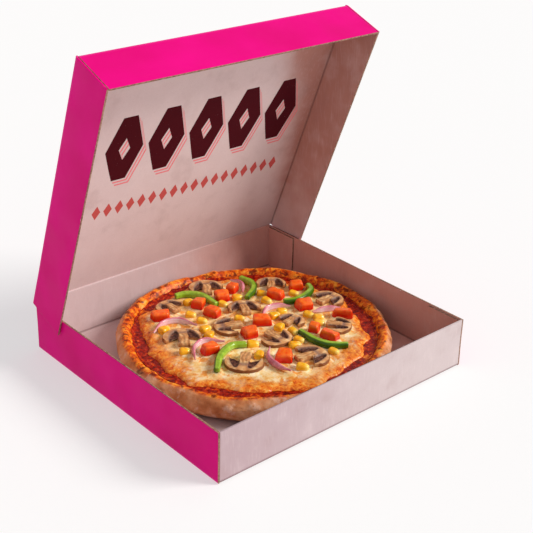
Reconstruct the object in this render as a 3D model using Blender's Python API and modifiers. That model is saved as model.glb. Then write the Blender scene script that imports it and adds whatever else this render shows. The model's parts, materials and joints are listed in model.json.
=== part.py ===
"""A round vegetable pizza in its square cardboard box, with the lid standing open on its rear fold.

Sizes are in millimetres and become metres where a mesh is made. +X runs along the front wall,
+Y from the front wall to the fold, +Z up. The origin is under the middle of the whole object.
"""

import math

import bmesh
import bpy
from mathutils import Matrix, Vector

MM = 0.001
GAP = 0.3  # air left between two pieces that touch

# The tray, folded from one sheet
TRAY_WIDTH = 280.0
TRAY_DEPTH = 263.0
TRAY_HEIGHT = 47.0
BOARD = 1.6
TAB_LENGTH = 37.0  # corner tabs, glued inside the side walls
TAB_DROP = 1.2  # their top edge lies this much under the wall's
BITE = 0.4  # how far a glued tab reaches into the board it is joined to
FOLD_BEVEL = 0.4

# The lid, which closes outside the tray's walls
LID_PLAY = 0.8
LID_FLAP = 43.0
LID_OPEN = 69.0  # degrees from closed, as it stands

# The dough, in radii from the pizza's centre and heights over its underside
PIZZA_X = 8.0
PIZZA_Y = 1.0
CRUST_RADIUS = 126.0
CRUST_RIM = 26.0
DOUGH_HEIGHT = 18.6
CRUST_STEPS = 72
SAUCE_RADIUS = CRUST_RADIUS - 16.8
SAUCE_THICK = 1.2
CHEESE_RADIUS = CRUST_RADIUS - 22.5
CHEESE_THICK = 3.0
CHEESE_WAVES = 0.3

# The toppings, which lie on the cheese in a layout turned with the pizza
LAYOUT_TURN = -41.0
SLICE_THICK = 4.0
PEPPER_HEIGHT = 9.0
STRIP_RADIUS = 3.3
ONION_RADIUS = 2.3
ONION_HEIGHT = 6.0  # a sliver stands on its edge
KERNEL = (5.3, 4.0, 3.3)  # half sizes
KERNEL_SINK = 1.2

# Mushroom slices: right, away, turn of the stem from the viewer, width of the cap
MUSHROOMS = [
    (-48, 75, 10, 34), (15, 86, 0, 30), (-80, 34, 47, 28), (-10, 36, 12, 32), (-64, -22, 13, 36),
    (-24, -1, 106, 32), (70, 57, -49, 32), (34, 13, -36, 26), (20, -21, -137, 31), (77, 5, -104, 28),
    (50, -49, -58, 36), (-8, -64, 174, 35),
]
# Red pepper chunks: right, away, turn, length, width
PEPPERS = [
    (-23, 71, 62, 12, 12), (-31, 54, 12, 16, 14), (-53, 39, 70, 14, 13), (-39, 23, -35, 17, 12),
    (-86, 13, 14, 19, 13), (-39, -44, 38, 17, 13), (7, 9, 8, 19, 14), (-4, -14, 20, 16, 15),
    (39, 80, 10, 15, 12), (20, 61, -25, 18, 13), (46, 41, 24, 17, 16), (82, 26, -10, 20, 10),
    (54, -3, -20, 11, 10), (67, -15, -30, 19, 10), (27, -54, -8, 16, 16),
]
# Green pepper strips and onion slivers: each runs through its points
STRIPS = [
    [(-76, 53), (-66, 58), (-51, 55), (-36, 38)],
    [(-15, 95), (-4, 84), (-2, 70), (-8, 53)],
    [(-31, -79), (-29, -56), (-20, -38), (-7, -34)],
    [(27, 47), (41, 52), (53, 70), (51, 83)],
    [(41, -9), (52, -23), (66, -32), (83, -32)],
]
ONIONS = [
    [(-25, 90), (-14, 83), (-12, 66)],
    [(-90, -17), (-83, 1), (-69, 7), (-52, -1)],
    [(-50, -61), (-52, -42), (-44, -29), (-26, -30)],
    [(7, 20), (11, 33), (22, 40), (33, 39)],
    [(54, 29), (66, 35), (80, 38)],
    [(14, -38), (13, -55), (21, -69), (32, -76)],
]
# Sweetcorn kernels, fused to the cheese: right, away, turn
KERNELS = [
    (-60, -46, 10), (-81, -9, 50), (-59, 20, -10), (-48, 9, -20), (-63, 45, 60), (-30, 42, -30),
    (-17, 56, 20), (-14, 15, 0), (-44, -6, 40), (-40, -16, 70), (6, 66, 0), (11, 51, -40),
    (37, 67, -20), (25, 31, 15), (50, 25, -30), (59, 20, 10), (59, 10, -5), (23, 1, 60),
    (35, -7, -50), (40, -22, -25), (36, -31, 20), (-1, -31, 10), (5, -49, 80), (42, -68, -10),
    (70, -41, -30), (18, 22, 35),
]

HINGE_Y = TRAY_DEPTH / 2
FLOOR_TOP = BOARD
DOUGH_BASE = FLOOR_TOP + GAP
SAUCE_BASE = DOUGH_BASE + DOUGH_HEIGHT + GAP
CHEESE_BASE = SAUCE_BASE + SAUCE_THICK + GAP
CHEESE_TOP = CHEESE_BASE + CHEESE_THICK
TOPPING_BASE = CHEESE_TOP + CHEESE_WAVES + GAP
# the leaning lid reaches past the fold, so the tray stands a little forward of the origin
SHIFT_Y = -(GAP + BOARD) * math.sin(math.radians(LID_OPEN)) / 2


def srgb(red, green, blue):
    """A colour of 0 to 255 as the linear values that a material takes."""
    return tuple(
        (c / 255 / 12.92) if c <= 10 else ((c / 255 + 0.055) / 1.055) ** 2.4 for c in (red, green, blue)
    )


FINISHES = {
    "board": (srgb(205, 180, 175), 0.75),
    "print": (srgb(187, 0, 95), 0.45),
    "crust": (srgb(200, 150, 110), 0.8),
    "sauce": (srgb(140, 40, 15), 0.3),
    "cheese": (srgb(235, 210, 155), 0.4),
    "mushroom": (srgb(200, 165, 120), 0.5),
    "red_pepper": (srgb(225, 50, 20), 0.25),
    "green_pepper": (srgb(90, 145, 35), 0.25),
    "onion": (srgb(205, 140, 165), 0.3),
}


def make_material(name):
    colour, roughness = FINISHES[name]
    material = bpy.data.materials.new(name)
    material.use_nodes = True
    shader = material.node_tree.nodes["Principled BSDF"]
    shader.inputs["Base Color"].default_value = (*colour, 1)
    shader.inputs["Roughness"].default_value = roughness
    shader.inputs["Metallic"].default_value = 0
    return material


def make_collection(name):
    collection = bpy.data.collections.new(name)
    bpy.context.scene.collection.children.link(collection)
    return collection


def make_object(name, bm, material, collection, shift=(0, 0, 0)):
    """Turns a bmesh in millimetres into an object in metres; shift is its origin's place."""
    bmesh.ops.scale(bm, vec=(MM, MM, MM), verts=bm.verts)
    mesh = bpy.data.meshes.new(name)
    bm.to_mesh(mesh)
    bm.free()
    mesh.materials.append(material)
    thing = bpy.data.objects.new(name, mesh)
    thing.location = Vector(shift) * MM
    collection.objects.link(thing)
    return thing


def apply_modifiers(thing):
    """Replaces the object's mesh or curve by what its modifiers make of it."""
    bpy.context.view_layer.update()
    evaluated = thing.evaluated_get(bpy.context.evaluated_depsgraph_get())
    mesh = bpy.data.meshes.new_from_object(evaluated)
    mesh.name = thing.name
    if thing.type == "CURVE":
        collection = thing.users_collection[0]
        solid = bpy.data.objects.new(thing.name + "_solid", mesh)
        solid.matrix_world = thing.matrix_world
        collection.objects.link(solid)
        name = thing.name
        bpy.data.objects.remove(thing)
        solid.name = name
        return solid
    thing.modifiers.clear()
    thing.data = mesh
    return thing


def weld(thing):
    """Closes a curve's loose caps."""
    bm = bmesh.new()
    bm.from_mesh(thing.data)
    bmesh.ops.remove_doubles(bm, verts=bm.verts, dist=0.01 * MM)
    bmesh.ops.recalc_face_normals(bm, faces=bm.faces)
    bm.to_mesh(thing.data)
    bm.free()


def add_box(bm, low, high):
    """A box between two corners, added to the bmesh."""
    low, high = Vector(low), Vector(high)
    size = high - low
    place = Matrix.Translation((low + high) / 2) @ Matrix.Diagonal((*size, 1))
    return bmesh.ops.create_cube(bm, size=1, matrix=place)["verts"]


def fold_shell(bm, low, high, open_sides):
    """A box of single faces without the sides whose outward direction is listed."""
    add_box(bm, low, high)
    gone = [f for f in bm.faces if any(f.normal.dot(Vector(side)) > 0.9 for side in open_sides)]
    bmesh.ops.delete(bm, geom=gone, context="FACES_ONLY")


def make_board(thing):
    """Gives folded faces the board's thickness, inwards, and softens the folds and cut edges."""
    wall = thing.modifiers.new("board", "SOLIDIFY")
    wall.thickness = BOARD * MM
    wall.offset = -1
    wall.use_even_offset = True
    fold = thing.modifiers.new("folds", "BEVEL")
    fold.width = FOLD_BEVEL * MM
    fold.segments = 1
    fold.limit_method = "ANGLE"
    return apply_modifiers(thing)


def make_tray(parts, cutters, material):
    half_x, half_y = TRAY_WIDTH / 2, TRAY_DEPTH / 2
    bm = bmesh.new()
    fold_shell(bm, (-half_x, -half_y, 0), (half_x, half_y, TRAY_HEIGHT), [(0, 0, 1)])
    tray = make_board(make_object("tray", bm, material, parts, (0, SHIFT_Y, 0)))
    # four glued tabs, one along each end of both side walls
    bm = bmesh.new()
    for side in (-1, 1):
        for end in (-1, 1):
            x = sorted((side * (half_x - BOARD + BITE), side * (half_x - 2 * BOARD)))
            y = sorted((end * (half_y - BOARD + BITE), end * (half_y - BOARD - TAB_LENGTH)))
            add_box(bm, (x[0], y[0], BOARD - BITE), (x[1], y[1], TRAY_HEIGHT - TAB_DROP))
    tabs = make_object("corner_tabs", bm, material, cutters, (0, SHIFT_Y, 0))
    glue = tray.modifiers.new("glued_tabs", "BOOLEAN")
    glue.operation = "UNION"
    glue.object = tabs
    apply_modifiers(tray)
    bpy.data.objects.remove(tabs)


def make_lid(parts, material):
    """The lid, modelled closed with the fold at its origin, then turned open about the fold."""
    half_x = TRAY_WIDTH / 2 + LID_PLAY + BOARD
    reach = TRAY_DEPTH + LID_PLAY + BOARD
    bm = bmesh.new()
    fold_shell(bm, (-half_x, -reach, GAP - LID_FLAP), (half_x, 0, GAP + BOARD), [(0, 0, -1), (0, 1, 0)])
    lid = make_object("lid", bm, material, parts, (0, HINGE_Y + SHIFT_Y, TRAY_HEIGHT))
    make_board(lid)
    lid.rotation_euler.x = -math.radians(LID_OPEN)


def outline_wobble(angle):
    """How far the hand-stretched dough departs from a circle, as a share of its radius."""
    waves = ((2, 0.006, 0.4), (3, 0.005, 1.9), (5, 0.003, 4.1), (8, 0.002, 2.6))
    return sum(size * math.sin(count * angle + phase) for count, size, phase in waves)


def turn_profile(name, profile, material, parts, move):
    """A turned solid from a profile of (radius, height), each point then passed through move."""
    bm = bmesh.new()
    points = [bm.verts.new((radius, 0, height)) for radius, height in profile]
    for start, end in zip(points, points[1:]):
        bm.edges.new((start, end))
    thing = make_object(name, bm, material, parts, (PIZZA_X, PIZZA_Y + SHIFT_Y, 0))
    screw = thing.modifiers.new("turn", "SCREW")
    screw.steps = CRUST_STEPS
    screw.render_steps = CRUST_STEPS
    screw.use_merge_vertices = True
    screw.merge_threshold = 0.00001
    apply_modifiers(thing)
    for vertex in thing.data.vertices:
        x, y, z = vertex.co / MM
        vertex.co = Vector(move(math.atan2(y, x), math.hypot(x, y), z)) * MM
    thing.data.shade_smooth()
    return thing


def make_crust(parts, material):
    base = DOUGH_BASE
    rim = [
        (16.2, DOUGH_HEIGHT), (14.4, DOUGH_HEIGHT + 1.0), (12.8, 22.2), (10.8, 24.8), (8.0, CRUST_RIM),
        (4.8, 25.0), (1.9, 21.8), (0.3, 17.6), (0.6, 12.6), (3.8, 7.0), (9.5, 2.4), (16.0, 0),
    ]
    profile = [(0, base + DOUGH_HEIGHT), (60, base + DOUGH_HEIGHT)]
    profile += [(CRUST_RADIUS - inset, base + height) for inset, height in rim]
    profile += [(60, base), (0, base)]

    def move(angle, radius, height):
        rise = max(0.0, height - base - DOUGH_HEIGHT) / (CRUST_RIM - DOUGH_HEIGHT)
        lumps = 0.9 * math.sin(3 * angle + 0.8) + 0.6 * math.sin(7 * angle + 2.2)
        lumps += 0.4 * math.sin(13 * angle + 5.0)
        out = radius * (1 + outline_wobble(angle) * radius / CRUST_RADIUS)
        return out * math.cos(angle), out * math.sin(angle), height + lumps * rise

    turn_profile("crust", profile, material, parts, move)


def make_sauce(parts, material):
    top = SAUCE_BASE + SAUCE_THICK
    profile = [(0, top), (SAUCE_RADIUS - 10, top), (SAUCE_RADIUS - 1.2, top - 0.2)]
    profile += [(SAUCE_RADIUS, SAUCE_BASE + 0.5), (SAUCE_RADIUS - 1.0, SAUCE_BASE), (0, SAUCE_BASE)]

    def move(angle, radius, height):
        edge = (radius / SAUCE_RADIUS) ** 4
        lobes = 0.7 * math.sin(9 * angle + 1.0) + 0.5 * math.sin(14 * angle + 3.0) - 0.6
        out = radius * (1 + outline_wobble(angle) * radius / CRUST_RADIUS) + lobes * edge
        return out * math.cos(angle), out * math.sin(angle), height

    turn_profile("sauce", profile, material, parts, move)


def cheese_surface(angle, radius, height):
    """Melted cheese: a lobed edge and low waves on the top, with a flat underside."""
    edge = (radius / CHEESE_RADIUS) ** 6
    lobes = 1.9 * math.sin(6 * angle + 0.5) + 1.6 * math.sin(11 * angle + 2.0)
    lobes += 1.1 * math.sin(19 * angle + 4.0) - 1.5
    out = radius * (1 + outline_wobble(angle) * radius / CRUST_RADIUS) + lobes * edge
    x, y = out * math.cos(angle), out * math.sin(angle)
    top = (height - CHEESE_BASE) / CHEESE_THICK
    waves = CHEESE_WAVES * math.sin(x / 9.0 + 1.0) * math.sin(y / 8.0)
    return x, y, height + waves * max(0.0, top) ** 2


def make_cheese(parts, cutters, material):
    top = CHEESE_TOP
    profile = [(0, top), (25, top), (48, top), (68, top), (CHEESE_RADIUS - 12, top - 0.2)]
    profile += [(CHEESE_RADIUS - 5, top - 0.8), (CHEESE_RADIUS - 1, top - 1.8)]
    profile += [(CHEESE_RADIUS, CHEESE_BASE + 0.5), (CHEESE_RADIUS - 0.8, CHEESE_BASE), (0, CHEESE_BASE)]
    cheese = turn_profile("cheese", profile, material, parts, cheese_surface)
    # the sweetcorn kernels are half sunk in the cheese and fused to it
    kernels = bpy.data.collections.new("kernels")
    cutters.children.link(kernels)
    for number, (right, away, turn) in enumerate(KERNELS):
        bm = bmesh.new()
        bmesh.ops.create_uvsphere(bm, u_segments=6, v_segments=4, radius=1)
        bmesh.ops.scale(bm, vec=KERNEL, verts=bm.verts)
        kernel = make_object(f"kernel_{number:02d}", bm, material, kernels)
        lay_down(kernel, right, away, turn, CHEESE_TOP + KERNEL[2] - KERNEL_SINK)
    melt = cheese.modifiers.new("kernels", "BOOLEAN")
    melt.operation = "UNION"
    melt.operand_type = "COLLECTION"
    melt.collection = kernels
    apply_modifiers(cheese)
    for kernel in list(kernels.objects):
        bpy.data.objects.remove(kernel)
    bpy.data.collections.remove(kernels)


def lay_down(thing, right, away, turn, height, tilt=0.0):
    """Places a topping by the layout: right and away from the centre, turned about the vertical."""
    layout = math.radians(LAYOUT_TURN)
    x = right * math.cos(layout) - away * math.sin(layout)
    y = right * math.sin(layout) + away * math.cos(layout)
    thing.location = Vector((PIZZA_X + x, PIZZA_Y + SHIFT_Y + y, height)) * MM
    thing.rotation_euler = (math.radians(tilt), 0, layout + math.radians(turn))


def slice_outline(width):
    """Half of a mushroom slice, from the stem's end round to the top of the cap, in millimetres."""
    half = width / 2
    dome = width * 0.42
    stem = width * 0.115
    length = width * 0.42
    outline = [(stem * 0.7, -length), (stem * 1.25, -length * 0.93), (stem * 1.05, -length * 0.45)]
    outline += [(stem * 1.2, -dome * 0.12), (half * 0.60, -dome * 0.30), (half * 0.80, -dome * 0.43)]
    for step in range(8):
        angle = math.radians(-27 + step * 117 / 7)
        outline.append((half * math.cos(angle), dome * math.sin(angle)))
    return outline


def flat_curve(name, outline, thickness, material, parts):
    """A flat outline with a thickness, as a filled 2D curve made solid."""
    curve = bpy.data.curves.new(name, "CURVE")
    curve.dimensions = "2D"
    curve.fill_mode = "BOTH"
    curve.extrude = thickness / 2 * MM
    spline = curve.splines.new("POLY")
    spline.points.add(len(outline) - 1)
    for point, (x, y) in zip(spline.points, outline):
        point.co = (x * MM, y * MM, 0, 1)
    spline.use_cyclic_u = True
    curve.materials.append(material)
    thing = bpy.data.objects.new(name, curve)
    parts.objects.link(thing)
    solid = apply_modifiers(thing)
    weld(solid)
    return solid


def make_mushrooms(parts, material):
    for number, (right, away, turn, width) in enumerate(MUSHROOMS, 1):
        half = slice_outline(width)
        outline = half[:-1] + [half[-1]] + [(-x, y) for x, y in reversed(half[:-1])]
        thing = flat_curve(f"mushroom_{number:02d}", outline, SLICE_THICK, material, parts)
        lay_down(thing, right, away, turn, TOPPING_BASE + SLICE_THICK / 2)


def make_peppers(parts, material):
    for number, (right, away, turn, length, width) in enumerate(PEPPERS, 1):
        bm = bmesh.new()
        add_box(bm, (-length / 2, -width / 2, 0), (length / 2, width / 2, PEPPER_HEIGHT))
        # cut by hand: the top is a little smaller, and each chunk leans its own way
        lean = 0.9 * math.sin(number * 2.4)
        for vertex in bm.verts:
            if vertex.co.z > 0:
                vertex.co.x = vertex.co.x * 0.88 + lean
                vertex.co.y = vertex.co.y * 0.86 - lean * 0.6
                vertex.co.z += 0.5 * math.sin(number + vertex.co.x)
        thing = make_object(f"red_pepper_{number:02d}", bm, material, parts)
        soft = thing.modifiers.new("soft_edges", "BEVEL")
        soft.width = 1.0 * MM
        soft.segments = 1
        soft.limit_method = "ANGLE"
        lay_down(thing, right, away, turn, TOPPING_BASE)


def bent_tube(name, points, radius, height, ends, material, parts):
    """A tube through the points, stretched to its height and thinner towards its ends."""
    curve = bpy.data.curves.new(name, "CURVE")
    curve.dimensions = "3D"
    curve.bevel_depth = radius * MM
    curve.bevel_resolution = 2
    curve.resolution_u = 4
    curve.use_fill_caps = True
    spline = curve.splines.new("BEZIER")
    spline.bezier_points.add(len(points) - 1)
    last = len(points) - 1
    for number, (point, (right, away)) in enumerate(zip(spline.bezier_points, points)):
        point.co = (right * MM, away * MM, 0)
        point.handle_left_type = "AUTO"
        point.handle_right_type = "AUTO"
        point.radius = ends if number in (0, last) else 1.0
    curve.materials.append(material)
    thing = bpy.data.objects.new(name, curve)
    parts.objects.link(thing)
    solid = apply_modifiers(thing)
    weld(solid)
    solid.data.transform(Matrix.Diagonal((1, 1, height / (2 * radius), 1)))
    solid.data.shade_smooth()
    lay_down(solid, 0, 0, 0, TOPPING_BASE + height / 2)


def make_strips(parts, green, violet):
    for number, points in enumerate(STRIPS, 1):
        bent_tube(f"green_pepper_{number}", points, STRIP_RADIUS, 2 * STRIP_RADIUS, 0.85, green, parts)
    for number, points in enumerate(ONIONS, 1):
        bent_tube(f"onion_{number}", points, ONION_RADIUS, ONION_HEIGHT, 0.55, violet, parts)


def main():
    for thing in list(bpy.data.objects):
        bpy.data.objects.remove(thing)
    parts = make_collection("pizza_in_box")
    cutters = make_collection("cutters")
    materials = {name: make_material(name) for name in FINISHES}
    make_tray(parts, cutters, materials["board"])
    make_lid(parts, materials["print"])
    make_crust(parts, materials["crust"])
    make_sauce(parts, materials["sauce"])
    make_cheese(parts, cutters, materials["cheese"])
    make_mushrooms(parts, materials["mushroom"])
    make_peppers(parts, materials["red_pepper"])
    make_strips(parts, materials["green_pepper"], materials["onion"])


main()
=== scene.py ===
# A vegetable pizza in its open cardboard box: the finish of every surface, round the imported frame.
# Shapes are worked out in millimetres and put into the meshes in metres.
import json
import math

import bpy
import numpy as np
from mathutils import Matrix, Vector


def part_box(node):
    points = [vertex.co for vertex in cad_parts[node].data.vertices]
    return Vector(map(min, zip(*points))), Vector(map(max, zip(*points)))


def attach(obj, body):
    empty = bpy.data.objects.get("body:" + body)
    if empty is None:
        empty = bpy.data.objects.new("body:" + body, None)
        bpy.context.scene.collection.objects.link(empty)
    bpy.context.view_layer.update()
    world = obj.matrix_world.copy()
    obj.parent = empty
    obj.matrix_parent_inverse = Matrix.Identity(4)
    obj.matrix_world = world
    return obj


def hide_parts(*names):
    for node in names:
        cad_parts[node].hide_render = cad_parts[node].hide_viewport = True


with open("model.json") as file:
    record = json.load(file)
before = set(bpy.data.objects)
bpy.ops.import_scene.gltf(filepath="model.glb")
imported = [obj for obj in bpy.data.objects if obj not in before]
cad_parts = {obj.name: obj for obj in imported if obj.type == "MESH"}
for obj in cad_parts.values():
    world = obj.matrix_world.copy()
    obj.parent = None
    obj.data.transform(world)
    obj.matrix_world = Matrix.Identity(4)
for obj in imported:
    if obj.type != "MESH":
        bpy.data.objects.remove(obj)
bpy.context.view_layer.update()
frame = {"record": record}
print("frame loaded")

mm = 0.001
joint = frame["record"]["behaviour"]["joints"][0]
hinge = np.array(joint["pos_m"]) / mm
openAngle = math.radians(-joint["range_deg"][0])  # how far the lid stands from closed

trayLow, trayHigh = (np.array(corner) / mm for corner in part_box("tray"))
trayMiddle = (trayLow + trayHigh) / 2
trayHalf = (trayHigh - trayLow) / 2

# Colours and nodes. A socket knows its tree, so only what starts a chain of nodes is given one.


def srgb(red, green, blue):
    # a colour of 0 to 255 as linear values
    c = np.array([red, green, blue]) / 255
    return (*np.where(c <= 0.04045, c / 12.92, ((c + 0.055) / 1.055) ** 2.4), 1.0)


def newMaterial(name):
    material = bpy.data.materials.new(name)
    material.use_nodes = True
    return material, material.node_tree


def plug(socket, value):
    # links a socket, or sets a number, a vector or a colour
    if isinstance(value, bpy.types.NodeSocket):
        socket.id_data.links.new(value, socket)
    else:
        socket.default_value = srgb(*value) if socket.type == "RGBA" else value


def plugAll(node, values):
    # the same for several inputs, by name
    for key, value in values.items():
        plug(node.inputs[key], value)


def grain(tree, size, detail=3.0, roughness=0.55, distortion=0.0, scale=(1, 1, 1), shift=(0, 0, 0)):
    # noise on the object's own coordinates, its lumps about this many millimetres across, 0 to 1
    source = tree.nodes.new("ShaderNodeTexCoord")
    mapping = tree.nodes.new("ShaderNodeMapping")
    plugAll(mapping, {"Vector": source.outputs["Object"], "Scale": scale, "Location": shift})
    texture = tree.nodes.new("ShaderNodeTexNoise")
    plugAll(texture, {"Vector": mapping.outputs[0], "Scale": 1 / (size * mm), "Detail": detail,
                      "Roughness": roughness, "Distortion": distortion})
    return texture.outputs["Fac"]


def field(tree, name):
    # a number that the mesh carries at each point
    source = tree.nodes.new("ShaderNodeAttribute")
    source.attribute_name = name
    return source.outputs["Fac"]


def calc(operation, *values, clamp=False):
    # a Math node; one of the values at least is a socket
    tree = next(value.id_data for value in values if isinstance(value, bpy.types.NodeSocket))
    maths = tree.nodes.new("ShaderNodeMath")
    maths.operation = operation
    maths.use_clamp = clamp
    for socket, value in zip(maths.inputs, values):
        plug(socket, value)
    return maths.outputs[0]


def fade(value, low, high, start=0.0, end=1.0):
    # a smooth step from low to high
    span = value.id_data.nodes.new("ShaderNodeMapRange")
    span.interpolation_type = "SMOOTHSTEP"
    for socket, number in zip(span.inputs, (value, low, high, start, end)):
        plug(socket, number)
    return span.outputs[0]


def blend(share, first, second):
    # from the first colour to the second
    mix = share.id_data.nodes.new("ShaderNodeMix")
    mix.data_type = "RGBA"
    for index, value in ((0, share), (6, first), (7, second)):
        plug(mix.inputs[index], value)
    return mix.outputs[2]


def shades(value, *stops):
    # a colour ramp from (place, colour) stops
    ramp = value.id_data.nodes.new("ShaderNodeValToRGB")
    plug(ramp.inputs[0], value)
    points = ramp.color_ramp.elements
    while len(points) < len(stops):
        points.new(0.5)
    for point, (spot, colour) in zip(points, stops):
        point.position = spot
        point.color = srgb(*colour)
    return ramp.outputs[0]


def mottle(tree, size, detail, low, high):
    # two colours in soft patches
    return shades(grain(tree, size, detail), (0.3, low), (0.7, high))


def finish(material, colour, roughness, specular=0.5, coat=None, flesh=None, bumps=()):
    # coat is its weight and roughness; flesh is how much light goes in, and how far for red, green
    # and blue; a bump is a height, its strength and its depth in millimetres
    shader = material.node_tree.nodes["Principled BSDF"]
    values = {"Base Color": colour, "Roughness": roughness, "Specular IOR Level": specular}
    if coat:
        values["Coat Weight"], values["Coat Roughness"] = coat
    if flesh:
        values["Subsurface Weight"], values["Subsurface Radius"] = flesh
    plugAll(shader, values)
    for height, strength, depth in bumps:
        bump = material.node_tree.nodes.new("ShaderNodeBump")
        plugAll(bump, {"Height": height, "Strength": strength, "Distance": depth * mm})
        if shader.inputs["Normal"].is_linked:
            plug(bump.inputs["Normal"], shader.inputs["Normal"].links[0].from_socket)
        plug(shader.inputs["Normal"], bump.outputs[0])
    return material


# Shape helpers


def dice(cell, seed):
    # one steady random number from 0 to 1 for each whole-number place: a hash by large odd factors
    mixed = cell[..., 0] * 374761393 + cell[..., 1] * 668265263 + cell[..., 2] * 1274126177
    mixed = mixed + seed * 144665
    mixed = (mixed ^ (mixed >> 13)) * 1103515245 & 0xFFFFFFFF
    return ((mixed ^ (mixed >> 16)) & 0xFFFF) / 65535


def noise(points, size, seed, octaves=3):
    # random numbers on a lattice of this size, blended smoothly between its corners; each octave
    # halves the size and the weight; -1 to 1
    total, weight, whole = 0.0, 1.0, 0.0
    for octave in range(octaves):
        spot = points / size * 2**octave + seed * 7.31
        cell = np.floor(spot).astype(np.int64)
        part = spot - cell
        part = part * part * (3 - 2 * part)
        value = 0.0
        for corner in np.ndindex(2, 2, 2):
            share = np.prod(np.where(corner, part, 1 - part), axis=-1)
            value = value + share * dice(cell + np.array(corner), seed + octave)
        total = total + weight * (value * 2 - 1)
        whole += weight
        weight *= 0.5
    return total / whole


def step(value, low, high):
    # smooth step from 0 at low to 1 at high
    part = np.clip((value - low) / (high - low), 0, 1)
    return part * part * (3 - 2 * part)


def circle(count):
    # a row of angles once round
    return np.linspace(0, 2 * math.pi, count, endpoint=False)[None, :]


def polar(angle, radius, height):
    # the point at an angle and a radius about the upright axis
    return np.stack(np.broadcast_arrays(radius * np.cos(angle), radius * np.sin(angle), height), -1)


def squared(wave, power):
    # a sine or cosine flattened by a power below 1, its sign kept, which makes a round shape boxy
    return np.sign(wave) * np.abs(wave) ** power


def boxyCircle(count, power):
    # the cosines and sines once round, squared off
    turn = circle(count)
    return squared(np.cos(turn), power), squared(np.sin(turn), power)


def spin(points, angle):
    # turns the first two coordinates
    c, s = math.cos(angle), math.sin(angle)
    turned = points.copy()
    turned[..., 0] = points[..., 0] * c - points[..., 1] * s
    turned[..., 1] = points[..., 0] * s + points[..., 1] * c
    return turned


def smoothPath(points, count):
    # Catmull-Rom curve through the points: each stretch is a cubic whose slope at a point is half
    # the way between its neighbours; resampled to even lengths
    p = np.array(points, float)
    p = np.vstack([2 * p[0] - p[1], p, 2 * p[-1] - p[-2]])
    t = np.linspace(0, len(points) - 1, 1200)
    i = np.minimum(t.astype(int), len(points) - 2)
    f = (t - i)[:, None]
    a, b, c, d = p[i], p[i + 1], p[i + 2], p[i + 3]
    fine = 2 * b + (c - a) * f + (2 * a - 5 * b + 4 * c - d) * f**2 + (3 * b - a - 3 * c + d) * f**3
    fine = fine / 2
    length = np.append(0, np.cumsum(np.linalg.norm(np.diff(fine, axis=0), axis=1)))
    even = np.linspace(0, length[-1], count)
    return np.stack([np.interp(even, length, fine[:, k]) for k in range(fine.shape[1])], 1)


def addObject(name, data):
    thing = bpy.data.objects.new(name, data)
    bpy.context.scene.collection.objects.link(thing)
    return thing


def ringFaces(rings):
    # rings (count, around, 3) joined by quads, with a fan to the middle of the first and the last
    count, around = rings.shape[:2]
    points = np.vstack([rings.reshape(-1, 3), rings[0].mean(0), rings[-1].mean(0)])
    index = np.arange(count * around).reshape(count, around)
    ahead = np.roll(index, -1, axis=1)
    quads = np.stack([index[:-1], ahead[:-1], ahead[1:], index[1:]], -1).reshape(-1, 4)
    start, end = count * around, count * around + 1
    fan = np.stack([np.full(around, start), ahead[0], index[0]], -1)
    close = np.stack([np.full(around, end), index[-1], ahead[-1]], -1)
    return points, quads, np.vstack([fan, close])


def putMesh(name, points, quads, triangles, materials, body, fields=None, faceMaterial=None):
    # a closed mesh, turned to face outwards by the sign of its volume
    half = np.vstack([quads[:, :3], quads[:, [0, 2, 3]], triangles])
    a, b, c = points[half[:, 0]], points[half[:, 1]], points[half[:, 2]]
    if np.einsum("ij,ij->i", a, np.cross(b, c)).sum() < 0:
        quads, triangles = quads[:, ::-1], triangles[:, ::-1]
    mesh = bpy.data.meshes.new(name)
    mesh.from_pydata((points * mm).tolist(), [], quads.tolist() + triangles.tolist())
    for material in materials:
        mesh.materials.append(material)
    if faceMaterial is not None:
        mesh.polygons.foreach_set("material_index", faceMaterial.astype(np.int32))
    for key, values in (fields or {}).items():
        store = mesh.attributes.new(key, "FLOAT", "POINT")
        store.data.foreach_set("value", np.asarray(values, np.float32))
    mesh.update()
    mesh.shade_smooth()
    piece = addObject(name, mesh)
    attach(piece, body)
    return piece


def ringPiece(name, rings, material, replaced, fields):
    # a piece of the box's body in a CAD node's place; its fields are given per ring point and
    # averaged at the two middles
    points, quads, triangles = ringFaces(rings)
    full = {}
    for key, values in fields.items():
        values = np.broadcast_to(values, rings.shape[:2])
        full[key] = np.concatenate([values.ravel(), [values[0].mean(), values[-1].mean()]])
    piece = putMesh(name, points, quads, triangles, [material], "box", full)
    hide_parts(replaced)


def joinRings(solids):
    # several ring solids as one mesh
    points, quads, triangles, base = [], [], [], 0
    for rings in solids:
        p, q, t = ringFaces(rings)
        points.append(p)
        quads.append(q + base)
        triangles.append(t + base)
        base += len(p)
    return np.vstack(points), np.vstack(quads), np.vstack(triangles)


# The board of the box

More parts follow.
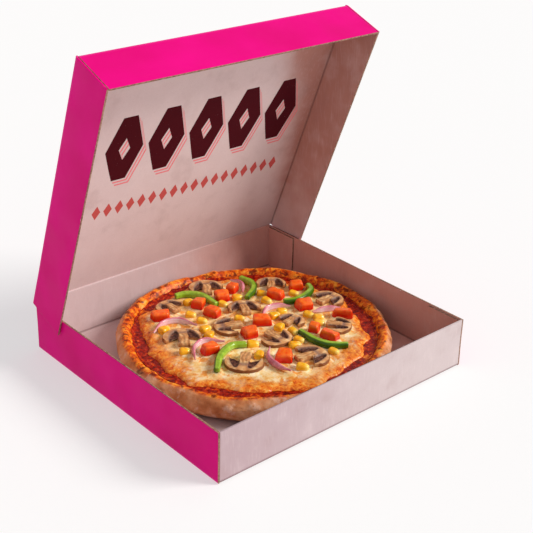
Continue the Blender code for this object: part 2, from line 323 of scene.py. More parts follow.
board = {
    "thick": 1.6,
    "foldRadius": 1.3,  # of the board's middle
    "edgeRadius": 0.35,
    "warp": 0.45,  # how far a panel bows
    "tabLength": 37.0,
    "tabDrop": 1.2,
    "lap": 6.0,  # the end panels take this much of the floor or the top with them
    "play": 0.8,  # between the lid's flaps and the tray
    "gap": 0.3,  # between the lid's panel and the fold's axis
    "flap": 43.0,
    "seam": 0.4,  # between the lid's front flap and its side flaps
    "crease": 1.2,  # how far a fold line reaches on each side of the bend
    "bead": 1.0,  # the radius of the fold between the tray and the lid
    "endPlay": 0.05,  # between an end wall and a side wall
    "tabPlay": (0.02, 0.1),  # from a corner tab to the side wall, and to the end wall and the floor
    "spacing": 9.0, "lidSpacing": 7.0,  # between the points along a strip
    "pink": ((222, 0, 118), (236, 0, 134)),
    # the front wall's darker left is painted shade
    "wall": ((182, 158, 163), (202, 187, 187)),  # the front wall's outside, left and right
    # the tray's inside, left and right: the browner right is painted shade under the right wall
    "inside": ((206, 184, 184), (216, 162, 150)),
    # the lid's inside: painted shadow of its right flap and front flap, browner to the right and darkest
    # at the top right
    "lidInsideWithPaintedShadow": ((222, 200, 199), (186, 134, 123), (126, 78, 70)),  # left, right, top right
}


def printedBoard():
    # pink ink on board: faint blotches, hardly any sheen, paler fibres
    material, tree = newMaterial("pinkPrint")
    colour = mottle(tree, 60, 2, *board["pink"])
    fibre = grain(tree, 2.5, 4, scale=(1, 1, 6))
    colour = blend(fade(fibre, 0.62, 0.8, 0, 0.2), colour, (236, 60, 156))
    colour = blend(calc("MULTIPLY", field(tree, "fold"), 0.3), colour, (244, 90, 176))
    return finish(material, colour, fade(grain(tree, 25), 0.3, 0.7, 0.42, 0.56), 0.06,
                  bumps=((grain(tree, 1.2), 0.15, 0.1), (grain(tree, 35, 1), 0.12, 0.5)))


def linerWithPaintedShade(name, tintsWithPaintedShade, low, high, lean=0.0, drawing=None):
    # uncoated board whose tint runs from left to right between two places, given in metres, and with
    # a lean also upwards: the tint is painted shade, and a third tint paints the deepest shadow; pulp
    # clouds, short fibres and faint streaks along the height; a drawing is a function that draws over
    # the colour
    material, tree = newMaterial(name)
    parts = tree.nodes.new("ShaderNodeSeparateXYZ")
    plug(parts.inputs[0], tree.nodes.new("ShaderNodeTexCoord").outputs["Object"])
    side = calc("MULTIPLY_ADD", parts.outputs[2], lean, parts.outputs[0])
    side = calc("MULTIPLY_ADD", grain(tree, 45), 0.05, side)
    # painted shade: from the first tint to the second across the board, and to the third where the painted
    # shadow is deepest
    colour = blend(fade(side, low + 0.025, high + 0.025), tintsWithPaintedShade[0], tintsWithPaintedShade[1])
    if len(tintsWithPaintedShade) > 2:
        colour = blend(fade(side, high + 0.035, high + 0.12), colour, tintsWithPaintedShade[2])
    cloud = grain(tree, 26, 4)
    fibre = grain(tree, 1.6, 4, scale=(1, 1, 5))
    streak = grain(tree, 1.5, scale=(1, 1, 0.1))
    for value, start, end, share, tint in ((cloud, 0.5, 0.75, 0.2, (150, 112, 108)),
                                           (cloud, 0.5, 0.25, 0.16, (240, 222, 222)),
                                           (fibre, 0.55, 0.75, 0.3, (176, 140, 134)),
                                           (streak, 0.5, 0.75, 0.12, (240, 226, 224))):
        colour = blend(fade(value, start, end, 0, share), colour, tint)
    # painted shade: the board darker along each fold, in the bend's corner
    colour = blend(calc("MULTIPLY", field(tree, "fold"), 0.5), colour, (96, 58, 54))
    if drawing:
        colour = drawing(tree, colour)
    return finish(material, colour, 0.85, 0.15, bumps=((grain(tree, 0.9), 0.2, 0.1), (streak, 0.12, 0.1)))


def rawBoard():
    # cut edge: brown pulp with the flutes' light and dark
    material, tree = newMaterial("rawEdge")
    colour = shades(grain(tree, 2.2), (0.35, (118, 82, 66)), (0.65, (172, 134, 112)))
    return finish(material, colour, 0.9, bumps=[(grain(tree, 1.0, 2), 0.5, 0.3)])


# The printed band, in millimetres on the panel: across from its middle, along from the fold. half
# and hole are half the size of a lozenge and of the one cut out of it, as shares of the pitch and
# the height
lidPrint = {
    "large": {"left": -99.0, "pitch": 43.8, "count": 5, "low": 126.0, "height": 68.0,
              "half": (0.44, 0.80), "hole": (0.13, 0.17)},
    "small": {"left": -99.0, "pitch": 12.0, "count": 18, "low": 84.0, "height": 16.0,
              "half": (0.375, 0.5)},
    "shadowStep": (2.4, -3.4), "shadows": 2,
    "maroon": (72, 0, 14), "pink": (236, 120, 128), "red": (196, 52, 46),
}


def lidPattern(tree, colour):
    # a generic band in the lid: bold maroon lozenges, each with a small lozenge cut out and over thin
    # pink lines that step down to its right; and a row of small red lozenges below
    source = tree.nodes.new("ShaderNodeUVMap")
    source.uv_map = "panel"
    parts = tree.nodes.new("ShaderNodeSeparateXYZ")
    plug(parts.inputs[0], source.outputs[0])

    def lozenges(row, steps=0.0):
        # 1 inside: a lozenge is where the two distances from its middle, as shares of its half size,
        # add up to less than 1; the row's height cuts the points off
        row = lidPrint[row]
        stepX, stepY = lidPrint["shadowStep"]
        cell = calc("SUBTRACT", parts.outputs[0], row["left"] + stepX * steps)
        cell = calc("DIVIDE", cell, row["pitch"])
        rise = calc("SUBTRACT", parts.outputs[1], row["low"] + stepY * steps)
        rise = calc("DIVIDE", rise, row["height"])
        side = calc("ABSOLUTE", calc("SUBTRACT", calc("FRACT", cell), 0.5))
        level = calc("ABSOLUTE", calc("SUBTRACT", rise, 0.5))
        inRow = calc("COMPARE", cell, row["count"] / 2, row["count"] / 2)
        inside = calc("MULTIPLY", calc("LESS_THAN", level, 0.5), inRow)
        for key, test in (("half", "LESS_THAN"), ("hole", "GREATER_THAN")):
            if key in row:
                share = calc("MULTIPLY", level, 1 / row[key][1])
                share = calc("MULTIPLY_ADD", side, 1 / row[key][0], share)
                inside = calc("MULTIPLY", inside, calc(test, share, 1.0))
        return inside

    for count in range(lidPrint["shadows"], 0, -1):
        bare = calc("SUBTRACT", 0.9, lozenges("large", count - 0.5))
        share = calc("MULTIPLY", lozenges("large", count), bare, clamp=True)
        colour = blend(share, colour, lidPrint["pink"])
    worn = fade(grain(tree, 1.2), 0.18, 0.28)
    colour = blend(calc("MULTIPLY", lozenges("large"), worn), colour, lidPrint["maroon"])
    return blend(calc("MULTIPLY", lozenges("small"), 0.9), colour, lidPrint["red"])


def boardWarp(points, seed, middle):
    # every panel of one body bows by the same smooth field, so that neighbours stay together, and
    # always towards the middle, so that nothing passes the solids' outer size
    bow = np.stack([noise(points, 130.0, seed + k, 1) for k in range(3)], -1)
    return -np.sign(points - middle) * (0.5 + 0.5 * bow) * board["warp"]


def arcPath(corners, spacing):
    # a line through the corners with an arc at each inner one, and points along the straights; with
    # a number at each point, 1 on a bend
    radius, crease = board["foldRadius"], board["foldRadius"] + board["crease"]
    corners = [np.array([*c, 0.0]) for c in corners]
    turn = np.linspace(0, math.pi / 2, 7)[:, None]
    path = [corners[0]]
    for before, corner, after in zip(corners, corners[1:], corners[2:]):
        back = (before - corner) / np.linalg.norm(before - corner)
        ahead = (after - corner) / np.linalg.norm(after - corner)
        arc = corner + back * radius * (1 - np.sin(turn)) + ahead * radius * (1 - np.cos(turn))
        path += [corner + back * crease, *(arc + np.array([0, 0, 1])), corner + ahead * crease]
    path.append(corners[-1])
    full = [path[0]]
    for start, end in zip(path, path[1:]):
        pieces = max(1, int(np.linalg.norm((end - start)[:2]) / spacing))
        full += [start + (end - start) * k / pieces for k in range(1, pieces + 1)]
    full = np.array(full)
    return full[:, :2], full[:, 2]


def boardSection(low, high, spacing, lowEdge):
    # the board's cut shape: half its thickness to each side, from low to high, with rounded edges;
    # and for the stretch after each point the side it lies on: 0 outer, 1 inner, 2 cut edge, and
    # lowEdge on the edge at low
    half, radius = board["thick"] / 2, board["edgeRadius"]
    along = np.linspace(low + radius, high - radius, max(3, int((high - low) / spacing)))
    turn = np.linspace(0, math.pi / 2, 4)[1:]
    c, s = radius * np.cos(turn), radius * np.sin(turn)
    outer = np.stack([np.full(len(along), half), along], 1)
    top = np.vstack([np.stack([half - radius + c, high - radius + s], 1),
                     np.stack([radius - half - s, high - radius + c], 1)])
    inner = np.stack([np.full(len(along) - 1, -half), along[::-1][1:]], 1)
    bottom = np.vstack([np.stack([radius - half - c, low + radius - s], 1),
                        np.stack([half - radius + s, low + radius - c], 1)])[:-1]
    kinds = [0] * (len(outer) - 1) + [2] * len(top) + [1] * len(inner)
    kinds += [lowEdge] * (len(bottom) + 1)
    return np.vstack([outer, top, inner, bottom]), np.array(kinds)


def boardStrip(name, path, folds, low, high, axes, materials, move, node, lowEdge=2):
    # a folded strip: the board's section carried along a path in one plane, its width across it;
    # low and high may change along the path; axes say which coordinates the path and width are;
    # the outer side is on the right hand of the path
    low = np.broadcast_to(low, len(path)).astype(float)
    high = np.broadcast_to(high, len(path)).astype(float)
    section, kinds = boardSection(low.min(), high.max(), board["spacing"], lowEdge)
    tangent = np.gradient(path, axis=0)
    tangent /= np.linalg.norm(tangent, axis=1)[:, None]
    outward = np.stack([tangent[:, 1], -tangent[:, 0]], 1)
    share = (section[:, 1] - low.min()) / (high.max() - low.min())
    rings = np.zeros((len(path), len(section), 3))
    for axis in (0, 1):
        rings[..., axes[axis]] = path[:, None, axis] + section[None, :, 0] * outward[:, None, axis]
    rings[..., axes[2]] = low[:, None] + share[None, :] * (high - low)[:, None]
    points, quads, triangles = ringFaces(rings)
    faceMaterial = np.concatenate([np.tile(kinds, len(path) - 1), np.full(len(triangles), 2)])
    fold = np.append(np.repeat(folds, len(section)), [0, 0])
    body = "lid" if node == "lid" else "box"
    piece = putMesh(name, move(points), quads, triangles, materials, body, {"fold": fold}, faceMaterial)
    if node == "lid":
        uv = piece.data.uv_layers.new(name="panel")
        corner = np.zeros(len(piece.data.loops), np.int32)
        piece.data.loops.foreach_get("vertex_index", corner)
        flat = np.stack([points[corner, 0], -points[corner, 1]], 1)
        uv.data.foreach_set("uv", flat.astype(np.float32).ravel())
    bend = piece.modifiers.new("softNormals", "WEIGHTED_NORMAL")
    bend.keep_sharp = True
    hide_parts(node)


def betweenWalls(path, x):
    # 1 where the path is more than a board's thickness inside the walls at -x and x
    return step(-np.abs(path[:, 0]), board["thick"] - x, board["thick"] + 1.0 - x)


def makeTray(pink, wall, liner, raw):
    thick, half = board["thick"], board["thick"] / 2
    x, y = trayHalf[:2]
    top = trayHigh[2]

    def move(points):
        grounded = step(points[:, 2:3], 2.0, 25.0)
        bowed = points + boardWarp(points, 11, np.zeros(3)) * np.array([1, 1, 0.5]) * grounded
        return bowed + np.array([*trayMiddle[:2], 0])

    # left wall, floor and right wall in one strip, which runs front to back
    path, folds = arcPath([(half - x, top), (half - x, half), (x - half, half), (x - half, top)],
                          board["spacing"])
    reach = y - (board["lap"] + thick) * betweenWalls(path, x)
    boardStrip("traySides", path, folds, -reach, reach, (0, 2, 1), [pink, liner, raw], move, "tray")
    # the end walls, each with a lap of the floor, between the side walls
    inner = x - thick - board["endPlay"]
    for end, name, outer, edge in ((-1, "trayFront", wall, wall), (1, "trayBack", pink, liner)):
        corners = [(end * (y - half), top), (end * (y - half), half),
                   (end * (y - board["lap"] - thick), half)][::-end]
        path, folds = arcPath(corners, board["spacing"])
        boardStrip(name, path, folds, -inner, inner, (1, 2, 0), [outer, liner, edge], move, "tray")
    # glued corner tabs inside the side walls
    aside, off = board["tabPlay"]
    for side, across in ((-1, "left"), (1, "right")):
        for end, along in ((-1, "front"), (1, "back")):
            centre = side * (x - thick * 1.5 - aside)
            start, stop = end * (y - thick - off), end * (y - thick - board["tabLength"])
            path = np.linspace((centre, start), (centre, stop), 6)[::-side * end]
            boardStrip(f"trayTab_{across}_{along}", path, np.zeros(len(path)), thick + off,
                       top - board["tabDrop"], (0, 1, 2), [liner, liner, raw], move, "tray")


def turnLid(points):
    # from the closed lid, with the fold at the origin, to where it stands
    return spin(points[:, [1, 2, 0]], -openAngle)[:, [2, 0, 1]] + hinge


def makeLid(pink, raw, printed):
    half = board["thick"] / 2
    side = trayHalf[0] + board["play"] + half
    reach = 2 * trayHalf[1] + board["play"] + board["thick"]
    top, low = board["gap"] + half, board["gap"] - board["flap"]
    lap = board["lap"] + board["thick"]

    def move(points):
        free = step(-points[:, 1:2], 2.0, 40.0)
        bow = boardWarp(points, 31, np.array([0, -reach / 2, -99.0])) * np.array([0.5, 1, 1])
        return turnLid(points + bow * free)

    path, folds = arcPath([(side, low), (side, top), (-side, top), (-side, low)],
                          board["lidSpacing"])
    front = reach - lap * betweenWalls(path, side)
    boardStrip("lidPanel", path, folds, -front, -0.12, (0, 2, 1), [pink, printed, raw], move, "lid", 0)
    path, folds = arcPath([(lap - reach, top), (half - reach, top), (half - reach, low)],
                          board["lidSpacing"])
    inner = side - half - board["seam"]
    boardStrip("lidFront", path, folds, -inner, inner, (1, 2, 0), [pink, printed, raw], move, "lid")


def makeFold(pink, liner):
    # the crease between the back wall and the lid: a thin round bead just in front of the joint's axis
    x = trayHalf[0] - board["thick"]
    turn = circle(24)
    rings = np.zeros((60, 24, 3))
    rings[..., 0] = np.linspace(-x, x, 60)[:, None]
    rings[..., 1] = hinge[1] - 0.35 + board["bead"] * np.cos(turn)
    rings[..., 2] = hinge[2] - 0.1 + board["bead"] * np.sin(turn)
    points, quads, triangles = ringFaces(rings)
    kind = np.where(points[quads].mean(1)[:, 1] < hinge[1] + 0.2, 1, 0)
    kind = np.concatenate([kind, np.zeros(len(triangles), int)])
    piece = putMesh("backFold", points, quads, triangles, [pink, liner], "box", faceMaterial=kind)


def makeBox():
    pink, raw = printedBoard(), rawBoard()
    # the tints and places paint shade: a darker left on the front wall, a browner right in the tray, and
    # in the lid the shadow of its right and front flaps
    wall = linerWithPaintedShade("wallLinerWithPaintedShade", board["wall"], -0.14, 0.1)
    liner = linerWithPaintedShade("trayLinerWithPaintedShade", board["inside"], -0.02, 0.12)
    printed = linerWithPaintedShade("lidLinerWithPaintedShadow", board["lidInsideWithPaintedShadow"], 0.14, 0.19, 0.3, lidPattern)
    makeTray(pink, wall, liner, raw)
    makeLid(pink, raw, printed)
    makeFold(pink, liner)


makeBox()
print("box folded")

# The pizza: the same driving sizes as its solids

pizza = {
    "x": 8.0, "y": 1.0, "radius": 126.0, "base": 1.9, "rim": 26.0, "dough": 18.6,
    "sauceTop": 22.0, "cheeseInset": 22.5, "cheeseTop": 25.3, "toppingBase": 25.9,
    "layoutTurn": -41.0,
}
centre = np.array([pizza["x"], pizza["y"] + trayMiddle[1], 0.0])


def outlineWobble(angle):
    # the hand-stretched outline: four sines of 2, 3, 5 and 8 waves, as a share of the radius
    waves = ((2, 0.006, 0.4), (3, 0.005, 1.9), (5, 0.003, 4.1), (8, 0.002, 2.6))
    return sum(size * np.sin(count * angle + phase) for count, size, phase in waves)


def spots(count, seed, low, high):
    # seeded places on the disc between two radii: angle, radius and a random number
    draw = np.random.default_rng(seed)
    angle = draw.uniform(0, 2 * math.pi, count)
    radius = np.sqrt(draw.uniform(low**2, high**2, count))
    return angle, radius, draw.uniform(0, 1, count)


crust = {"around": 720, "along": 120, "lump": 1.0, "skin": 0.3, "wrinkle": 0.15,
         "blisters": 90, "blisterLevels": (16, 27)}


def crustMaterial():
    # baked dough: pale crest, a foot that is browner from baking and darker with painted shade where the
    # rim curves under, floury patches and freckles; the oily orange of the inner slope, which reaches over
    # the crest, has red-brown blots and golden spots
    material, tree = newMaterial("crust")
    inner = field(tree, "inner")
    side = shades(grain(tree, 16, 5), (0.3, (176, 98, 54)), (0.5, (208, 134, 86)),
                  (0.7, (236, 180, 136)))
    # darker towards the foot: painted shade with some real browning
    side = blend(field(tree, "low"), side, (122, 58, 28))
    side = blend(fade(grain(tree, 11, 6, 0.65), 0.52, 0.64, 0, 0.6), side, (234, 192, 168))
    side = blend(fade(grain(tree, 2.6, 5), 0.6, 0.72, 0, 0.5), side, (146, 84, 48))
    lumps = grain(tree, 6, 5, 0.6, 0.6)
    oil = shades(lumps, (0.3, (124, 28, 6)), (0.42, (196, 68, 8)), (0.53, (236, 118, 18)),
                 (0.64, (250, 170, 56)))
    blots = fade(grain(tree, 8, 5, 0.65, 0.8, shift=(0.3, 0.1, 0)), 0.52, 0.62, 0, 0.9)
    colour = blend(inner, side, blend(blots, oil, (104, 22, 6)))
    colour = blend(field(tree, "char"), colour, (84, 34, 18))
    return finish(material, colour, fade(inner, 0, 1, 0.75, 0.42), 0.2,
                  flesh=(0.06, (0.004, 0.002, 0.001)),
                  bumps=((grain(tree, 1.3, 4), 0.35, 0.35), (lumps, 0.35, 1.0)))


def makeCrust():
    # the rim's profile is a smooth curve through (inset, height) pairs, turned about the centre;
    # lumps, wrinkles and blisters then move each point along the profile's normal
    rim = [(40, 18.2), (24, 18.4), (16.2, 18.6), (14.4, 19.6), (12.8, 22.2), (10.8, 24.8), (8.0, 26.0),
           (4.8, 25.0), (1.9, 21.8), (0.3, 17.6), (0.6, 12.6), (3.8, 7.0), (9.5, 2.4), (16.0, 0), (40, 0)]
    fine = np.arange(900)
    line = smoothPath(rim, len(fine))
    line[:, 1] = np.maximum(line[:, 1], 0)
    dense = np.where((line[:, 0] < 17) & (line[:, 1] > 0.2), 1.0, 0.12)  # most rings where it shows
    reach = np.cumsum(dense)
    pick = np.interp(np.linspace(reach[0], reach[-1], crust["along"]), reach, fine)
    inset, height = (np.interp(pick, fine, side)[:, None] for side in line.T)
    slope = np.stack([-np.gradient(inset[:, 0]), np.gradient(height[:, 0])], 1)
    slope /= np.linalg.norm(slope, axis=1)[:, None]
    outR, outZ = -slope[:, 1:2], slope[:, 0:1]
    angle = circle(crust["around"])
    radius = pizza["radius"] - inset
    rise = np.maximum(0, height - pizza["dough"]) / (pizza["rim"] - pizza["dough"])
    lumps = 0.9 * np.sin(3 * angle + 0.8) + 0.6 * np.sin(7 * angle + 2.2) + 0.4 * np.sin(13 * angle + 5.0)
    out = radius * (1 + outlineWobble(angle) * radius / pizza["radius"])
    level = height + lumps * rise
    spot = polar(angle, out, level)
    free = step(height, 0.6, 5.0) * step(-inset, -16.5, -13.0)
    push = crust["lump"] * noise(spot, 20, 3) + crust["skin"] * noise(spot, 5, 7, 4)
    wrinkle = 1 - np.abs(noise(spot * np.array([1, 1, 1.6]), 9, 17, 3)) * 2
    push = push - crust["wrinkle"] * step(wrinkle, 0.82, 1.0)
    blistered = np.zeros_like(push)
    turns, _, sizes = spots(crust["blisters"], 5, 0, 1)
    levels = np.random.default_rng(8).uniform(*crust["blisterLevels"], crust["blisters"])
    for a, s, z in zip(turns, sizes, levels):
        away = (angle - a + math.pi) % (2 * math.pi) - math.pi
        gap = np.hypot(away * radius, (height - z) * 1.2) / (2.2 + 3.2 * s)
        blistered = np.maximum(blistered, (0.5 + 0.6 * s) * np.exp(-gap**2 * 1.6))
    push = (push + blistered) * free
    rings = polar(angle, out + push * outR, level + push * outZ + pizza["base"]) + centre
    rough = noise(spot, 11, 23, 4)
    inner = step(inset + 2.2 * rough + 1.2 * np.sin(2 * angle + 2.0), 4.0, 7.6) * (height > 8)
    # low: painted shade where the rim curves under, with some real browning at the foot
    low = step(-height + 4 * rough, -12.0, -1.0) * 0.8
    charred = step(noise(spot, 13, 41, 4), 0.30, 0.54) * step(height, 17, 23) * 0.75
    ringPiece("crustRim", rings, crustMaterial(), "crust", {"inner": inner, "low": low, "char": charred})


makeCrust()
print("crust baked")

sauce = {
    "around": 640, "across": 60, "lump": 0.55, "inner": 80.0,
    "outer": 13.4,  # the edge's inset from the crust's
    "climb": 0.75,  # how steeply it runs up the rim
}


def sauceMaterial():
    # the same blots in a dark and a light range of colours
    material, tree = newMaterial("sauce")
    blot = grain(tree, 4.5, 6, 0.65, 0.5)
    dark = shades(blot, (0.3, (66, 4, 2)), (0.46, (128, 14, 4)), (0.57, (176, 36, 6)),
                  (0.68, (232, 106, 18)))
    light = shades(blot, (0.3, (132, 32, 6)), (0.45, (206, 82, 12)), (0.6, (234, 126, 30)),
                   (0.72, (246, 172, 78)))
    colour = blend(field(tree, "warm"), dark, light)
    return finish(material, colour, fade(grain(tree, 4), 0.35, 0.65, 0.14, 0.36), 0.15, (0.07, 0.1),
                  bumps=[(grain(tree, 1.6), 0.5, 0.5)])


def makeSauce():
    # a ring over the dough that climbs the rim unevenly: top from the inner to the outer radius,
    # then back underneath
    angle = circle(sauce["around"])
    share = np.linspace(0, 1, sauce["across"])[:, None]
    edge = pizza["radius"] - sauce["outer"] + 1.6 * noise(polar(angle, 100, 0), 9, 51, 3)
    radius = sauce["inner"] + (edge - sauce["inner"]) * share
    out = radius * (1 + outlineWobble(angle) * radius / pizza["radius"])
    spot = polar(angle, out, 0)
    climb = np.maximum(0, radius - (pizza["radius"] - 16.5))
    height = pizza["sauceTop"] + climb * sauce["climb"] + 0.1
    height = height + sauce["lump"] * noise(spot, 5.5, 57, 3) + 0.25 * noise(spot, 2.2, 59, 2)
    height = height - 1.2 * step(share, 0.965, 1.0)
    top = polar(angle, out, height)
    under = top[::-1][::6].copy()
    under[..., 2] = np.minimum(pizza["base"] + pizza["dough"] + 0.1, under[..., 2] - 1.0)
    under[0] = top[-1] - np.array([0, 0, 1.2])
    near = step(radius, pizza["radius"] - 20.5, pizza["radius"] - 14.5)
    warm = step(noise(spot, 12, 61, 4) + 0.3 * near - 0.32, 0.0, 0.45)
    warm = np.concatenate([warm, warm[::-1][::6]])
    ringPiece("sauceRing", np.concatenate([top, under]) + centre, sauceMaterial(), "sauce", {"warm": warm})


makeSauce()
print("sauce spread")

# The layout of the toppings, as the solids have it: right and away from the centre, and a turn
mushroomPlaces = [
    (-48, 75, 10, 34), (15, 86, 0, 30), (-80, 34, 47, 28), (-10, 36, 12, 32), (-64, -22, 13, 36),
    (-24, -1, 106, 32), (70, 57, -49, 32), (34, 13, -36, 26), (20, -21, -137, 31), (77, 5, -104, 28),
    (50, -49, -58, 36), (-8, -64, 174, 35),
]
pepperPlaces = [
    (-23, 71, 62, 12, 12), (-31, 54, 12, 16, 14), (-53, 39, 70, 14, 13), (-39, 23, -35, 17, 12),
    (-86, 13, 14, 19, 13), (-39, -44, 38, 17, 13), (7, 9, 8, 19, 14), (-4, -14, 20, 16, 15),
    (39, 80, 10, 15, 12), (20, 61, -25, 18, 13), (46, 41, 24, 17, 16), (82, 26, -10, 20, 10),
    (54, -3, -20, 11, 10), (67, -15, -30, 19, 10), (27, -54, -8, 16, 16),
]
stripPaths = [
    [(-76, 53), (-66, 58), (-51, 55), (-36, 38)],
    [(-15, 95), (-4, 84), (-2, 70), (-8, 53)],
    [(-31, -79), (-29, -56), (-20, -38), (-7, -34)],
    [(27, 47), (41, 52), (53, 70), (51, 83)],
    [(41, -9), (52, -23), (66, -32), (83, -32)],
]
onionPaths = [
    [(-25, 90), (-14, 83), (-12, 66)],
    [(-90, -17), (-83, 1), (-69, 7), (-52, -1)],
    [(-50, -61), (-52, -42), (-44, -29), (-26, -30)],
    [(7, 20), (11, 33), (22, 40), (33, 39)],
    [(54, 29), (66, 35), (80, 38)],
    [(14, -38), (13, -55), (21, -69), (32, -76)],
]
kernelPlaces = [
    (-60, -46, 10), (-81, -9, 50), (-59, 20, -10), (-48, 9, -20), (-63, 45, 60), (-30, 42, -30),
    (-17, 56, 20), (-14, 15, 0), (-44, -6, 40), (-40, -16, 70), (6, 66, 0), (11, 51, -40),
    (37, 67, -20), (25, 31, 15), (50, 25, -30), (59, 20, 10), (59, 10, -5), (23, 1, 60),
    (35, -7, -50), (40, -22, -25), (36, -31, 20), (-1, -31, 10), (5, -49, 80), (42, -68, -10),
    (70, -41, -30), (18, 22, 35),
]
layoutTurn = math.radians(pizza["layoutTurn"])


def layDown(points, right, away, turn, base):
    # from a topping's own frame to its place on the pizza
    spot = spin(points, math.radians(turn)) + np.array([right, away, base])
    return spin(spot, layoutTurn) + centre


mushroom = {
    "thick": 4.0, "around": 220, "across": 65,
    "dome": 0.42, "stem": 0.42,  # the cap's height and the stem's length, as shares of the width
    "gillDepth": 1.7, "stemRise": 0.7, "grooves": 0.16,
}
pepper = {"height": 9.0, "around": 64, "along": 30, "square": 0.36}
strip = {"radius": 3.3, "along": 90, "around": 40}
onion = {"radius": 2.3, "height": 6.0, "along": 90, "around": 44}
kernel = {"half": (5.3, 4.0, 3.3), "sink": 1.2, "around": 28, "along": 18}
cheese = {
    "around": 600, "across": 140, "lump": 0.55, "edge": 4.0, "bubbles": 150, "bubbleHeight": 0.7,
    "cling": 1.7,  # how far from a topping the cheese still rises to it
}


def footprints(points):
    # distance from each point to the nearest topping's outline, negative inside
    flat = spin(points - centre, -layoutTurn)[..., :2]
    nearest = np.full(flat.shape[:-1], 99.0)
    for right, away, turn, width in mushroomPlaces:
        local = spin(flat - np.array([right, away]), -math.radians(turn))
        half, dome = width / 2, width * mushroom["dome"]
        cap = (np.hypot(local[..., 0] / half, local[..., 1] / dome) - 1) * dome
        cap = np.maximum(cap, -local[..., 1] - dome * 0.42)
        stem = np.maximum(np.abs(local[..., 0]) - width * 0.13, -local[..., 1] - width * mushroom["stem"])
        nearest = np.minimum(nearest, np.minimum(cap, np.maximum(stem, local[..., 1])))
    for right, away, turn, length, width in pepperPlaces:
        local = np.abs(spin(flat - np.array([right, away]), -math.radians(turn)))
        nearest = np.minimum(nearest, np.maximum(local[..., 0] - length / 2, local[..., 1] - width / 2))
    for paths, radius in ((stripPaths, strip["radius"]), (onionPaths, onion["radius"])):
        for spot in np.vstack([smoothPath(path, 26) for path in paths]):
            nearest = np.minimum(nearest, np.hypot(*np.moveaxis(flat - spot, -1, 0)) - radius)
    for right, away, _ in kernelPlaces:
        gap = np.hypot(flat[..., 0] - right, flat[..., 1] - away) - kernel["half"][1]
        nearest = np.minimum(nearest, gap)
    return nearest


def cheeseMaterial():
    # cream with pale and deeper clouds, orange oil in the hollows, golden to brown blisters, and an
    # orange fringe at the edge
    material, tree = newMaterial("cheese")
    clouds = grain(tree, 7, 5, 0.6, 0.4)
    cream = shades(clouds, (0.3, (230, 172, 88)), (0.45, (242, 204, 136)), (0.58, (250, 228, 178)),
                   (0.72, (255, 244, 218)))
    oil = fade(grain(tree, 9, 6, 0.68, 0.7, shift=(0.2, 0, 0)), 0.50, 0.60, 0, 0.88)
    golden = shades(grain(tree, 3.2, 6, 0.65), (0.3, (146, 58, 12)), (0.45, (206, 104, 24)),
                    (0.6, (236, 150, 46)), (0.72, (246, 198, 106)))
    orange = shades(grain(tree, 4, 6, 0.68, 0.5), (0.3, (142, 36, 8)), (0.43, (216, 96, 18)),
                    (0.54, (240, 142, 40)), (0.68, (250, 200, 104)))
    colour = blend(field(tree, "toast"), blend(oil, cream, (232, 142, 40)), golden)
    colour = blend(field(tree, "rimward"), colour, orange)
    return finish(material, colour, fade(grain(tree, 6), 0.35, 0.65, 0.2, 0.42), 0.25, (0.1, 0.14),
                  (0.12, (0.004, 0.003, 0.0015)), ((grain(tree, 1.4), 0.25, 0.3), (clouds, 0.3, 0.9)))


def makeCheese():
    # melted cheese: rings out to a lobed edge, a wavy top that swells up round each topping, an
    # edge that thins out over the sauce, and a flat underside
    angle = circle(cheese["around"])
    share = (1 - (1 - np.linspace(0.02, 1, cheese["across"])) ** 1.25)[:, None]
    lobes = 1.9 * np.sin(6 * angle + 0.5) + 1.6 * np.sin(11 * angle + 2.0) + 1.1 * np.sin(19 * angle + 4.0)
    around = polar(angle, 98, 0)
    whole = pizza["radius"] - pizza["cheeseInset"]
    edge = whole * (1 + outlineWobble(angle)) + lobes - 1.8 + 5.0 * noise(around, 17, 71, 2)
    edge = np.minimum(edge + 1.8 * noise(around, 5, 72, 3), pizza["radius"] - 13.8)
    out = edge * share
    flat = polar(angle, out, 0)
    thin = np.maximum(edge - out, 0) / cheese["edge"]
    height = pizza["cheeseTop"] - 0.1 + cheese["lump"] * noise(flat, 13, 73, 3)
    height = height + 0.2 * noise(flat, 4, 79, 2) - 2.9 * np.exp(-thin * 1.5)
    swell = np.exp(-((np.maximum(footprints(flat + centre), 0) / cheese["cling"]) ** 2))
    height = height + (pizza["toppingBase"] + 0.35 - height) * swell
    bubbles = np.zeros_like(height)
    for a, r, s in zip(*spots(cheese["bubbles"], 83, 12, 98)):
        away = np.hypot(flat[..., 0] - r * math.cos(a), flat[..., 1] - r * math.sin(a)) / (1.6 + 3.4 * s)
        bubbles = np.maximum(bubbles, np.exp(-(away**2) * 1.4) * (0.5 + 0.5 * s))
    height = height + cheese["bubbleHeight"] * bubbles * (1 - swell)
    top = polar(angle, out, height) + centre
    under = top[::-1][::10].copy()
    under[..., 2] = pizza["sauceTop"] - 0.4
    patch = noise(flat, 16, 89, 4)
    toast = step(bubbles * 0.8 + patch * 1.1, 0.42, 0.92) * (1 - 0.6 * swell)
    toast = np.maximum(toast, 0.85 * step(out / edge + 0.2 * patch, 0.80, 0.95) * step(patch, -0.4, 0.2))
    fields = {"toast": toast, "rimward": step(out / edge + 0.14 * noise(flat, 10, 97, 4), 0.87, 0.98)}
    fields = {key: np.concatenate([value, value[::-1][::10]]) for key, value in fields.items()}
    ringPiece("cheeseTop", np.concatenate([top, under]), cheeseMaterial(), "cheese", fields)


makeCheese()
print("cheese melted")


